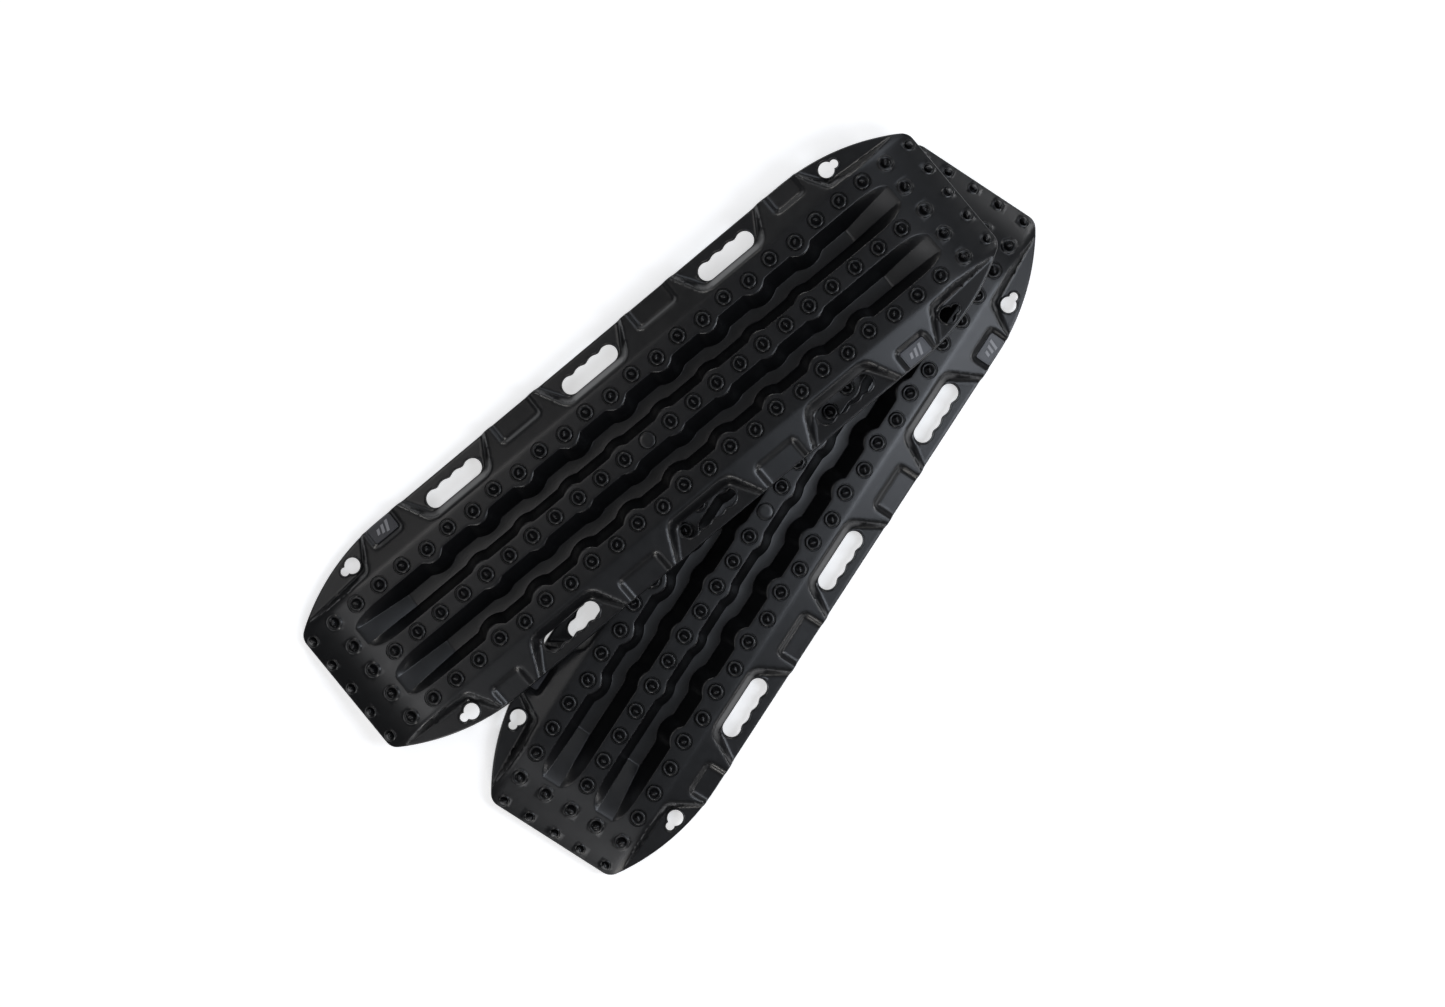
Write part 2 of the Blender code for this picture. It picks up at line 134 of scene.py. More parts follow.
BADGE_LENGTH = 0.0430
BADGE_WIDTH = 0.0260
BADGE_THICKNESS = 0.0014
BADGE_CENTRE = 0.1495
BADGE_CORNER = 0.004
BADGE_LIFT = 0.0003
BADGE_FIELD = 0.0011
BAR_HEIGHTS = (0.0085, 0.0125, 0.0165)
BAR_SPACING = 0.0080
BAR_HALF = 0.0023
BAR_LEAN = 0.35

# how the upper board lies, from the lower one
FAN_ANGLE = math.radians(-17.0)
FAN_OFFSET = (-0.006, 0.196)
LEAN_ROLL = math.radians(-8.35)
LEAN_PITCH = math.radians(-3.56)
LEAN_HEIGHT = 0.0403

# how finely the faces are divided
TOP_PITCH = 0.0034
UNDER_PITCH = 0.0066
# lines on the centre ridge, each fillet, each wall, the floor, the outer ridge and the flank
TOP_LINES = (3, 5, 2, 1, 7, 20)
UNDER_LINES = (1, 3, 0, 0, 3, 12)
TOP_FILLETS = (0.0016, 0.0016)
UNDER_FILLETS = (0.0020, 0.0030)
LEAST_SETBACK = 0.0004
SETBACK_SHARE = 0.42
FOLD_HALF = 0.0005
FOLD_CLEAR = 0.0022
CREASE_LINE = 0.0016
TURN_STEPS = 6
STUD_SIDES = 30
STUD_MARGIN = 0.0005
HOLE_MARGIN = 0.0007
HOLE_SPREAD = 0.0012
OPEN_REACH = 0.012
SNAP_REACH = 0.00135
SNAP_DONE = 0.0001
SHARP_ANGLE = math.radians(42)


# ---- plan and section, on numpy arrays ----

def mix(first, second, share):
    return first + (second - first) * share


def soft_min(first, second, reach):
    near = np.maximum(reach - np.abs(first - second), 0.0) / reach
    return np.minimum(first, second) - near * near * reach / 4


def soft_max(first, second, reach):
    return -soft_min(-first, -second, reach)


def ridge_z(x):
    run = np.maximum(0.0, np.abs(x) - CURL_START)
    return RIDGE_TOP - CURL_RATE * run * run


def corner_centre():
    x = LENGTH / 2 - CORNER_RADIUS
    reach = FLARE_RADIUS - CORNER_RADIUS
    return x, WIDTH / 2 - FLARE_RADIUS + math.sqrt(reach ** 2 - (x - STRAIGHT_HALF) ** 2)


def corner_start():
    return math.asin((corner_centre()[0] - STRAIGHT_HALF) / (FLARE_RADIUS - CORNER_RADIUS))


def half_width(x, inset):
    x = np.abs(x)
    centre_x, centre_y = corner_centre()
    corner = CORNER_RADIUS - inset
    flare = np.sqrt(np.maximum(0.0, (FLARE_RADIUS - inset) ** 2 - (x - STRAIGHT_HALF) ** 2))
    flare = flare + WIDTH / 2 - FLARE_RADIUS
    turn = centre_y + np.sqrt(np.maximum(0.0, corner ** 2 - (x - centre_x) ** 2))
    on_flare = x <= centre_x + corner * math.sin(corner_start()) + 1e-9
    wide = np.where(on_flare, flare, turn)
    return np.where(x <= STRAIGHT_HALF, WIDTH / 2 - inset, wide)


def outline_normal(x, y, inset):
    """Unit normal of the outline in plan, at points on the outline moved in by inset."""
    centre_x, centre_y = corner_centre()
    a, b = np.abs(x), np.abs(y)
    along = np.zeros_like(a)
    across = np.ones_like(a)
    on_flare = a > STRAIGHT_HALF
    along = np.where(on_flare, a - STRAIGHT_HALF, along)
    across = np.where(on_flare, b - (WIDTH / 2 - FLARE_RADIUS), across)
    on_turn = a > centre_x + (CORNER_RADIUS - inset) * math.sin(corner_start()) + 1e-9
    along = np.where(on_turn, a - centre_x, along)
    across = np.where(on_turn, b - centre_y, across)
    on_end = on_turn & (b < centre_y)
    along = np.where(on_end, 1.0, along)
    across = np.where(on_end, 0.0, across)
    size = np.hypot(along, across)
    return np.sign(x) * along / size, np.sign(y) * across / size


def lobe(x, last, parity, radius):
    column = np.round((x / PITCH - parity) / 2) * 2 + parity
    offset = x - column * PITCH
    reach = np.sqrt(np.maximum(radius ** 2 - offset ** 2, 0.0))
    return np.where(np.abs(column) <= last, reach, 0.0)


def channel(x, shift):
    """The four edges of a channel, from the middle outwards, and its floor's height, at x."""
    ramp = np.clip((np.abs(x) - RAMP_START) / (RAMP_END - RAMP_START), 0.0, 1.0)
    share = np.clip((np.abs(x) - MOUTH_START) / (RAMP_END - MOUTH_START), 0.0, 1.0)
    mouth = 1.0 - np.sqrt(1.0 - share ** 2)
    inner_top = lobe(x, LAST_CENTRE_LOBE, 1, LOBE_TOP_RADIUS)
    inner_top = soft_max(CENTRE_RIDGE_HALF, inner_top, LOBE_BLEND)
    inner_low = lobe(x, LAST_CENTRE_LOBE, 1, LOBE_FLOOR_RADIUS)
    inner_low = soft_max(FLOOR_INNER, inner_low, LOBE_BLEND)
    outer_top = LOBE_ROW - lobe(x, LAST_OUTER_LOBE, 0, LOBE_TOP_RADIUS)
    outer_low = LOBE_ROW - lobe(x, LAST_OUTER_LOBE, 0, LOBE_FLOOR_RADIUS)
    outer_top = soft_min(OUTER_RIDGE_INNER, outer_top, LOBE_BLEND)
    outer_low = soft_min(FLOOR_OUTER, outer_low, LOBE_BLEND)
    return (
        mix(inner_top, MOUTH_INNER, mouth) - shift,
        mix(inner_low, RAMP_FLOOR_INNER, ramp) - shift,
        mix(outer_low, RAMP_FLOOR_OUTER, ramp) + shift,
        mix(outer_top, MOUTH_OUTER, mouth) + shift,
        mix(WALL, ridge_z(x), ramp),
    )


def outside_corner(first, second, cosine, radius):
    """Distance from a convex corner, from the distances beyond its two edges."""
    first = first + radius
    second = second + radius
    a = (first - cosine * second) / (1.0 - cosine ** 2)
    b = (second - cosine * first) / (1.0 - cosine ** 2)
    away = np.sqrt(np.maximum(a * a + b * b + 2 * a * b * cosine, 0.0))
    return np.where((a > 0) & (b > 0), away, np.maximum(first, second)) - radius


def tray_distance(x, y):
    column = np.clip(np.round(x / HAND_SPACING), -1, 1)
    u = np.abs(x - column * HAND_SPACING) - TRAY_CORNER_X
    v = np.abs(y) - TRAY_INNER
    side = (u - v * math.tan(TRAY_SIDE_LEAN)) * math.cos(TRAY_SIDE_LEAN)
    return outside_corner(-v, side, math.sin(TRAY_SIDE_LEAN), TRAY_CORNER_RADIUS)


def lip_distance(x, y):
    u = np.abs(x) - LIP_CORNER[0]
    v = np.abs(y) - LIP_CORNER[1]
    side = Vector(LIP_SIDE_END) - Vector(LIP_CORNER)
    edge = Vector(LIP_EDGE_END) - Vector(LIP_CORNER)
    side.normalize()
    edge.normalize()
    side_out = Vector((-side.y, side.x))
    edge_out = Vector((edge.y, -edge.x))
    first = u * edge_out.x + v * edge_out.y
    second = u * side_out.x + v * side_out.y
    return outside_corner(first, second, side_out.dot(edge_out), LIP_CORNER_RADIUS)


def pad_distance(x, y, pad):
    u = np.abs(np.abs(x) - pad[0]) - pad[1]
    return outside_corner(pad[2] - np.abs(y), u, 0.0, PAD_CORNER_RADIUS)


def flank_z(x, y):
    crease = np.minimum(CREASE, half_width(x, 0.0) - RIM_FLAT)
    return ridge_z(x) - soft_max(np.abs(y) - crease, 0.0, CREASE_ROUND) * FLANK_SLOPE


def top_z(x, y, drop=0.0):
    """Height of the upper face outside the channels, or drop below it for the underside."""
    flank = flank_z(x, y) - drop
    outward = drop * math.tan((math.pi / 2 - DRAFT) / 2)
    steep = 1.0 / math.tan(DRAFT)
    tray = TRAY_FLOOR - drop + soft_max(tray_distance(x, y) - outward, 0.0, RECESS_FOOT) * steep
    lip = LIP_FLOOR - drop + soft_max(lip_distance(x, y) - outward, 0.0, RECESS_FOOT) * steep
    outward_pad = drop * math.tan(math.pi / 8)
    z = flank
    for pad in (MIDDLE_PAD, END_PAD):
        rise = soft_max(pad_distance(x, y, pad) - outward_pad, 0.0, PAD_ROUND)
        z = soft_min(z, flank - pad[3] + rise, PAD_ROUND)
    z = soft_min(z, tray, RECESS_RIM)
    return soft_min(z, lip, RECESS_RIM)


# ---- the grid of a face of the board ----

def stations(inset, pitch):
    centre_x, _ = corner_centre()
    first = corner_start()
    radius = CORNER_RADIUS - inset
    reach = centre_x + radius * math.sin(first)
    half = list(np.linspace(0.0, reach, math.ceil(reach / pitch) + 1))
    for fold in (RAMP_START, RAMP_END):
        half = [x for x in half if abs(x - fold) > FOLD_CLEAR]
        half += [fold - FOLD_HALF, fold + FOLD_HALF]
    half.sort()
    for step in range(1, TURN_STEPS + 1):
        half.append(centre_x + radius * math.sin(mix(first, math.pi / 2, step / TURN_STEPS)))
    return np.array([-x for x in reversed(half[1:])] + half)


def fillet(before, at, after, radius, points):
    """Points of a curve that rounds the corner at a line, one set for every station."""
    arrive = at - before
    leave = after - at
    length_in = np.linalg.norm(arrive, axis=1, keepdims=True)
    length_out = np.linalg.norm(leave, axis=1, keepdims=True)
    arrive = arrive / length_in
    leave = leave / length_out
    turn = np.arccos(np.clip((arrive * leave).sum(axis=1, keepdims=True), -1.0, 1.0))
    setback = np.maximum(radius * np.tan(turn / 2), LEAST_SETBACK)
    setback = np.minimum(setback, SETBACK_SHARE * np.minimum(length_in, length_out))
    start = at - arrive * setback
    end = at + leave * setback
    found = []
    for step in range(points):
        t = step / (points - 1)
        found.append((1 - t) ** 2 * start + 2 * t * (1 - t) * at + t * t * end)
    return found


def between(first, second, count):
    return [mix(first, second, (k + 1) / (count + 1)) for k in range(count)]


def half_grid(x, inset, drop, counts, radii):
    """Lines of one half, from the middle to the edge, as (y, z) at every station."""
    ridge_lines, fillet_lines, wall_lines, floor_lines, outer_lines, flank_lines = counts
    lean = math.atan((FLOOR_INNER - CENTRE_RIDGE_HALF) / (RIDGE_TOP - WALL))
    shift = drop * math.tan((math.pi / 2 - lean) / 2)
    a, b, c, d, floor = channel(x, shift)
    top = ridge_z(x) - drop
    floor = floor - drop
    corners = [np.zeros_like(x), a, b, c, d]
    heights = [top, top, floor, floor, top]
    points = [np.stack(pair, axis=1) for pair in zip(corners, heights)]
    edge = half_width(x, inset)
    crease = np.minimum(CREASE, edge - RIM_FLAT)
    points.append(np.stack((crease, top), axis=1))
    lines = [points[0]]
    fillets = []
    swell_inner = np.clip((a - CENTRE_RIDGE_HALF) / LOBE_SWELL, 0.0, 1.0)
    swell_outer = np.clip((OUTER_RIDGE_INNER - d) / LOBE_SWELL, 0.0, 1.0)
    plain = np.zeros_like(x)
    wide = (LOBE_EDGE * swell_inner, plain, plain, LOBE_EDGE * swell_outer)
    for k in range(1, 5):
        radius = radii[0] if k in (1, 4) else radii[1]
        radius = np.maximum(radius, wide[k - 1])[:, None]
        fillets.append(fillet(points[k - 1], points[k], points[k + 1], radius, fillet_lines))
    lines += between(points[0], fillets[0][0], ridge_lines) + fillets[0]
    lines += between(fillets[0][-1], fillets[1][0], wall_lines) + fillets[1]
    lines += between(fillets[1][-1], fillets[2][0], floor_lines) + fillets[2]
    lines += between(fillets[2][-1], fillets[3][0], wall_lines) + fillets[3]
    inner = np.array(lines)
    start = fillets[3][-1][:, 0]
    above = crease - CREASE_LINE
    below = crease + CREASE_LINE
    ys = between(start, above, outer_lines) + [above, crease, below]
    ys += between(below, edge, flank_lines - 1) + [edge]
    xs = np.repeat(x[:, None], len(ys), axis=1)
    ys = np.stack(ys, axis=1)
    if drop == 0.0:
        xs, ys = snap(xs, ys, outer_lines + 3)
    zs = top_z(xs, ys, drop)
    inner_y = inner[:, :, 0].T
    inner_z = inner[:, :, 1].T
    inner_x = np.repeat(x[:, None], inner_y.shape[1], axis=1)
    return (
        np.concatenate((inner_x, xs), axis=1),
        np.concatenate((inner_y, ys), axis=1),
        np.concatenate((inner_z, zs), axis=1),
    )


def snap(xs, ys, first):
    """Moves flank points that lie near a rim or the foot of a recess onto it."""
    step = 0.00005
    deep = 0.002
    least_slope = 0.2
    tan = math.tan(DRAFT)

    def tray_rim(x, y):
        return tray_distance(x, y) - (flank_z(x, y) - TRAY_FLOOR) * tan

    def lip_rim(x, y):
        return lip_distance(x, y) - (flank_z(x, y) - LIP_FLOOR) * tan

    def tray_foot(x, y):
        return np.where(flank_z(x, y) > TRAY_FLOOR + deep, tray_distance(x, y), 1.0)

    def lip_foot(x, y):
        return np.where(flank_z(x, y) > LIP_FLOOR + deep, lip_distance(x, y), 1.0)

    def pad_rim(x, y):
        first_pad = pad_distance(x, y, MIDDLE_PAD) - MIDDLE_PAD[3]
        second_pad = pad_distance(x, y, END_PAD) - END_PAD[3]
        return np.where(np.abs(x) < PAD_SPLIT, first_pad, second_pad)

    def pad_foot(x, y):
        near = np.abs(x) < PAD_SPLIT
        return np.where(near, pad_distance(x, y, MIDDLE_PAD), pad_distance(x, y, END_PAD))

    free = np.zeros_like(xs, dtype=bool)
    free[1:-1, first:-1] = True
    for curve in (tray_rim, lip_rim, tray_foot, lip_foot, pad_rim, pad_foot):
        for _ in range(2):
            here = curve(xs, ys)
            along = (curve(xs + step, ys) - here) / step
            across = (curve(xs, ys + step) - here) / step
            slope = along ** 2 + across ** 2
            near = free & (np.abs(here) < SNAP_REACH) & (slope > least_slope)
            share = np.where(near, here / np.where(near, slope, 1.0), 0.0)
            xs = xs - share * along
            ys = ys - share * across
        settled = free & (np.abs(curve(xs, ys)) < SNAP_DONE)
        free &= ~settled
    return xs, ys


def full_grid(inset, drop, pitch, counts, radii):
    x = stations(inset, pitch)
    xs, ys, zs = half_grid(x, inset, drop, counts, radii)
    xs = np.concatenate((xs[:, :0:-1], xs), axis=1)
    ys = np.concatenate((-ys[:, :0:-1], ys), axis=1)
    zs = np.concatenate((zs[:, :0:-1], zs), axis=1)
    return xs, ys, zs


# ---- joining grids, rings and holes into one closed shell ----

class Shell:
    def __init__(self):
        self.points = np.zeros((0, 3))
        self.faces = []

    def add(self, xs, ys, zs):
        new = np.stack(np.broadcast_arrays(xs, ys, zs), axis=-1).reshape(-1, 3)
        first = len(self.points)
        self.points = np.concatenate((self.points, new))
        return list(range(first, first + len(new)))

    def bridge(self, first, second):
        count = len(first)
        for k in range(count):
            after = (k + 1) % count
            self.faces.append((first[k], first[after], second[after], second[k]))

    def cap(self, ring, centre):
        count = len(ring)
        for k in range(count):
            self.faces.append((ring[k], ring[(k + 1) % count], centre))

    def zip(self, first, second):
        """Joins two loops of any number of points, taking the shorter diagonal each time."""
        a = self.points[first]
        b = self.points[second]
        if signed_area(a) * signed_area(b) < 0.0:
            second = second[::-1]
            b = b[::-1]
        start = int(np.argmin(np.linalg.norm(b - a[0], axis=1)))
        second = second[start:] + second[:start]
        b = self.points[second]
        i = 0
        j = 0
        while i < len(first) or j < len(second):
            a_next = a[(i + 1) % len(first)]
            b_next = b[(j + 1) % len(second)]
            step_a = np.linalg.norm(a_next - b[j % len(second)])
            step_b = np.linalg.norm(b_next - a[i % len(first)])
            here = (first[i % len(first)], second[j % len(second)])
            if j >= len(second) or (i < len(first) and step_a <= step_b):
                self.faces.append((here[0], first[(i + 1) % len(first)], here[1]))
                i += 1
            else:
                self.faces.append((here[0], second[(j + 1) % len(second)], here[1]))
                j += 1


def signed_area(points):
    x, y = points[:, 0], points[:, 1]
    return float(np.sum(x * np.roll(y, -1) - y * np.roll(x, -1)))


def signed_distance(xs, ys, ring):
    """Distance from a closed ring of points, negative inside it."""
    shape = xs.shape
    px = xs.reshape(-1, 1)
    py = ys.reshape(-1, 1)
    ax, ay = ring[:, 0], ring[:, 1]
    bx, by = np.roll(ax, -1), np.roll(ay, -1)
    dx, dy = bx - ax, by - ay
    t = np.clip(((px - ax) * dx + (py - ay) * dy) / (dx * dx + dy * dy), 0.0, 1.0)
    away = np.hypot(px - ax - t * dx, py - ay - t * dy).min(axis=1)
    crosses = (ay > py) != (by > py)
    side = px < dx * (py - ay) / np.where(dy == 0.0, 1e-12, dy) + ax
    inside = (crosses & side).sum(axis=1) % 2 == 1
    return np.where(inside, -away, away).reshape(shape)


class Grid:
    """A face's grid of points in the shell, whose cells can be opened round a feature."""

    def __init__(self, shell, xs, ys, zs):
        self.shell = shell
        self.xs = xs
        self.ys = ys
        self.rows, self.lines = xs.shape
        self.index = np.array(shell.add(xs, ys, zs)).reshape(xs.shape)
        self.kept = np.ones((self.rows - 1, self.lines - 1), dtype=bool)

    def open(self, ring, margin):
        """Removes the cells that the ring touches and returns the loop round them."""
        low = ring.min(axis=0) - OPEN_REACH
        high = ring.max(axis=0) + OPEN_REACH
        near = (self.xs > low[0]) & (self.xs < high[0])
        near &= (self.ys > low[1]) & (self.ys < high[1])
        rows = np.flatnonzero(near.any(axis=1))
        lines = np.flatnonzero(near.any(axis=0))
        r0, r1, l0, l1 = rows[0], rows[-1] + 1, lines[0], lines[-1] + 1
        away = signed_distance(self.xs[r0:r1, l0:l1], self.ys[r0:r1, l0:l1], ring)
        touched = away < margin
        gone = touched[:-1, :-1] | touched[1:, :-1] | touched[:-1, 1:] | touched[1:, 1:]
        while True:
            falling = gone[:-1, :-1] & gone[1:, 1:] & ~gone[1:, :-1] & ~gone[:-1, 1:]
            rising = ~gone[:-1, :-1] & ~gone[1:, 1:] & gone[1:, :-1] & gone[:-1, 1:]
            if not falling.any() and not rising.any():
                break
            gone[1:, :-1] |= falling
            gone[:-1, :-1] |= rising
        self.kept[r0:r1 - 1, l0:l1 - 1] &= ~gone
        index = self.index[r0:r1, l0:l1]
        follow = {}
        cells = set(zip(*(v.tolist() for v in np.nonzero(gone))))
        for i, j in cells:
            corners = ((i, j), (i + 1, j), (i + 1, j + 1), (i, j + 1))
            sides = ((i, j - 1), (i + 1, j), (i, j + 1), (i - 1, j))
            for k in range(4):
                if sides[k] not in cells:
                    follow[corners[k]] = corners[(k + 1) % 4]
        start = next(iter(follow))
        loop = [start]
        while follow[loop[-1]] != start:
            loop.append(follow[loop[-1]])
        if len(loop) != len(follow):
            raise RuntimeError("an opening's loop is not simple")
        return [int(index[i, j]) for i, j in loop]

    def close(self):
        i, j = np.nonzero(self.kept)
        index = self.index
        quads = np.stack((index[i, j], index[i + 1, j], index[i + 1, j + 1], index[i, j + 1]), 1)
        self.shell.faces += [tuple(q) for q in quads.tolist()]

    def border(self):
        index = self.index
        loop = list(index[:-1, 0]) + list(index[-1, :-1])
        loop += list(index[:0:-1, -1]) + list(index[0, :0:-1])
        return [int(v) for v in loop]


def circle(centre, radius, count):
    angle = np.arange(count) * 2 * math.pi / count
    return np.stack((centre[0] + radius * np.cos(angle), centre[1] + radius * np.sin(angle)), 1)


def slot_ring(grow):
    """The hand slot, whose outer side has four finger scallops, moved out by grow."""
    radius = SLOT_WIDTH / 2
    reach = SLOT_LENGTH / 2 - radius
    finger = 0.024
    depth = 0.0028
    fade = 0.006
    x = np.linspace(reach, -reach, 37)
    dent = depth * (0.5 + 0.5 * np.cos(2 * math.pi * x / finger)) ** 1.4
    dent *= np.clip((reach - np.abs(x)) / fade, 0.0, 1.0)
    outer = np.stack((x, radius - dent), 1)
    turn = np.linspace(math.pi / 2, 3 * math.pi / 2, 17)[1:-1]
    left = np.stack((-reach + radius * np.cos(turn), radius * np.sin(turn)), 1)
    x = np.linspace(-reach, reach, 15)
    inner = np.stack((x, np.full_like(x, -radius)), 1)
    right = np.stack((reach - radius * np.cos(turn), -radius * np.sin(turn)), 1)
    ring = np.concatenate((outer, left, inner, right))
    tangent = np.roll(ring, -1, axis=0) - np.roll(ring, 1, axis=0)
    tangent /= np.linalg.norm(tangent, axis=1, keepdims=True)
    normal = np.stack((tangent[:, 1], -tangent[:, 0]), 1)
    return ring + normal * grow


def keyhole_ring(grow):
    """Outline of two overlapping round holes, moved out by grow."""
    large = KEY_RADIUS + grow
    small = KEY_LOBE_RADIUS + grow
    cross = (KEY_LOBE_OFFSET ** 2 + large ** 2 - small ** 2) / (2 * KEY_LOBE_OFFSET)
    rise = math.sqrt(large ** 2 - cross ** 2)
    main = math.atan2(rise, cross)
    side = math.atan2(rise, cross - KEY_LOBE_OFFSET)
    turn = np.linspace(main, 2 * math.pi - main, 41)
    first = np.stack((large * np.cos(turn), large * np.sin(turn)), 1)
    turn = np.linspace(-side, side, 17)[1:-1]
    second = np.stack((KEY_LOBE_OFFSET + small * np.cos(turn), small * np.sin(turn)), 1)
    return np.concatenate((first, second))


def pierce(shell, top, under, make_ring, place, beads, weight):
    """A through hole with a moulded rim, between the upper face and the underside."""
    outer = place(make_ring(beads[0][0]))
    loop = top.open(outer, HOLE_MARGIN)
    last = None
    for grow, rise in beads:
        ring = place(make_ring(grow))
        share = weight(np.abs(ring[:, 1]))
        z = top_z(ring[:, 0], ring[:, 1]) + rise * share
        added = shell.add(ring[:, 0], ring[:, 1], z)
        if last is None:
            shell.zip(loop, added)
        else:
            shell.bridge(last, added)
        last = added
    for grow in (0.0, HOLE_SPREAD):
        ring = place(make_ring(grow))
        z = top_z(ring[:, 0], ring[:, 1], WALL)
        added = shell.add(ring[:, 0], ring[:, 1], z)
        shell.bridge(last, added)
        last = added
    loop = under.open(place(make_ring(HOLE_SPREAD)), HOLE_MARGIN)
    shell.zip(loop, last)


def diamond(angle, along, across, power):
    """Radius of a superellipse at an angle; power 1 is a diamond and 2 an ellipse."""
    c = (np.abs(np.cos(angle)) / along) ** power
    s = (np.abs(np.sin(angle)) / across) ** power
    return (c + s) ** (-1.0 / power)


def stud(shell, top, x, y, profile, tooth, turn):
    """A ringed boss on a ridge with a chisel-shaped tooth, or a flat disc."""
    angle = np.arange(STUD_SIDES) * 2 * math.pi / STUD_SIDES
    loop = top.open(circle((x, y), profile[0][0], STUD_SIDES), STUD_MARGIN)
    last = None
    for radius, rise in profile:
        px = x + radius * np.cos(angle)
        py = y + radius * np.sin(angle)
        added = shell.add(px, py, ridge_z(px) + rise)
        if last is None:
            shell.zip(loop, added)
        else:
            shell.bridge(last, added)
        last = added
    base = float(ridge_z(np.array(x)))
    for along, across, power, rise in tooth:
        radius = diamond(angle - turn, along, across, power)
        added = shell.add(x + radius * np.cos(angle), y + radius * np.sin(angle), base + rise)
        shell.bridge(last, added)
        last = added
    height = tooth[-1][3] if tooth else profile[-1][1]
    centre = shell.add(np.array([x]), np.array([y]), np.array([base + height]))[0]
    shell.cap(last, centre)


# radius and rise of each step of a stud's ring, from its foot inwards
RINGED = (
    (0.0137, 0.0), (0.0134, -0.0003), (0.0131, -0.0024), (0.0120, -0.0024), (0.0116, -0.0004),
    (0.0110, 0.0012), (0.0100, 0.0022), (0.0088, 0.0026), (0.0075, 0.0022), (0.0063, 0.0009))
PLAIN = (
    (0.0128, 0.0), (0.0120, 0.0003), (0.0112, 0.0013), (0.0100, 0.0021), (0.0088, 0.0023),
    (0.0076, 0.0019), (0.0066, 0.0008))
SMALL = ((0.0092, 0.0), (0.0086, 0.0003), (0.0078, 0.0010), (0.0066, 0.0012))
DISC = (
    (0.0137, 0.0), (0.0134, -0.0003), (0.0131, -0.0022), (0.0122, -0.0022), (0.0118, 0.0002),
    (0.0113, 0.0009), (0.0106, 0.0012), (0.0060, 0.0012))
# half length, half width, superellipse power and rise of each step of a tooth
TOOTH = (
    (0.0058, 0.0052, 1.50, 0.0002), (0.0055, 0.0045, 1.50, 0.0020),
    (0.0046, 0.0023, 1.6, 0.0085), (0.0042, 0.0016, 2.0, STUD_HEIGHT - 0.0005),
    (0.0037, 0.0010, 2.0, STUD_HEIGHT))


def add_studs(shell, top):
    for column in range(-LAST_COLUMN, LAST_COLUMN + 1):
        x = column * PITCH
        reach = abs(column)
        on_lobe = column % 2 == 0 and reach <= LAST_OUTER_LOBE
        row = LOBE_ROW if on_lobe else OUTER_ROW
        rows = [-row, 0.0, row]
        if reach >= LAST_COLUMN - 1:
            rows += [-INNER_ROW, INNER_ROW]
        profile = SMALL if reach == LAST_COLUMN else PLAIN if reach == LAST_COLUMN - 1 else RINGED
        for y in rows:
            if column == 0 and y == 0.0:
                stud(shell, top, x, y, DISC, (), 0.0)
                continue
            swing = math.pi / 4 if (column % 2 == 0) == (y > 0.0) else -math.pi / 4
            turn = math.pi / 2 if y == 0.0 else swing
            stud(shell, top, x, y, profile, TOOTH, turn)


def rim(shell, top, under):
    """The rounded edge, the skirt and its lower edge, from the upper face to the underside."""
    loop = top.border()
    points = shell.points[loop]
    nx, ny = outline_normal(points[:, 0], points[:, 1], EDGE_ROUND)
    steps = []
    for k in range(1, 5):
        angle = k * math.pi / 8
        fall = EDGE_ROUND * (1 - math.cos(angle))
        steps.append((EDGE_ROUND * math.sin(angle), points[:, 2] - fall))
    steps.append((EDGE_ROUND, mix(points[:, 2], SKIRT_BOTTOM, 0.5)))
    for out, up in ((0.0025, 0.0016), (0.0020, 0.0005), (0.0008, 0.0), (-0.0008, 0.0003)):
        steps.append((out, np.full(len(points), SKIRT_BOTTOM + up)))
    steps.append((EDGE_ROUND - WALL, np.full(len(points), SKIRT_BOTTOM + 0.0018)))
    last = loop
    for out, z in steps:
        added = shell.add(points[:, 0] + nx * out, points[:, 1] + ny * out, z)
        shell.bridge(last, added)
        last = added
    shell.zip(last, under.border())


def board_mesh():
    shell = Shell()
    top = Grid(shell, *full_grid(EDGE_ROUND, 0.0, TOP_PITCH, TOP_LINES, TOP_FILLETS))
    under = Grid(shell, *full_grid(WALL, WALL, UNDER_PITCH, UNDER_LINES, UNDER_FILLETS))
    bead = ((0.0032, 0.0), (0.0026, 0.0007), (0.0018, 0.0013), (0.0010, 0.0013),
            (0.0004, 0.0007), (0.0, -0.0004))

    def at_slot(column, side):
        return lambda ring: (ring + (0.0, SLOT_CENTRE)) * (1, side) + (column * HAND_SPACING, 0.0)

    def at_key(end, side):
        return lambda ring: (ring + KEY_CENTRE) * (end, side)

    def on_outer_side(y):
        return np.clip((y - SLOT_CENTRE + 0.006) / 0.010, 0.0, 1.0)

    for side in (1, -1):
        for column in (-1, 0, 1):
            pierce(shell, top, under, slot_ring, at_slot(column, side), bead, on_outer_side)
        for end in (1, -1):
            pierce(shell, top, under, keyhole_ring, at_key(end, side), bead, np.ones_like)
    add_studs(shell, top)
    rim(shell, top, under)
    top.close()
    under.close()
    mesh = bpy.data.meshes.new("board_surface")
    mesh.from_pydata(shell.points.tolist(), [], shell.faces)
    tidy = bmesh.new()
    tidy.from_mesh(mesh)
    bmesh.ops.recalc_face_normals(tidy, faces=tidy.faces)
    tidy.to_mesh(mesh)
    tidy.free()
    mesh.shade_smooth()
    mesh.set_sharp_from_angle(angle=SHARP_ANGLE)
    return mesh


# ---- badges ----

def rounded_box(length, width, corner, steps):
    ring = []
    for quarter, (sx, sy) in enumerate(((1, 1), (-1, 1), (-1, -1), (1, -1))):
        for k in range(steps + 1):
            angle = (quarter + k / steps) * math.pi / 2
            ring.append((
                sx * (length / 2 - corner) + corner * math.cos(angle),
                sy * (width / 2 - corner) + corner * math.sin(angle)))
    return np.array(ring)


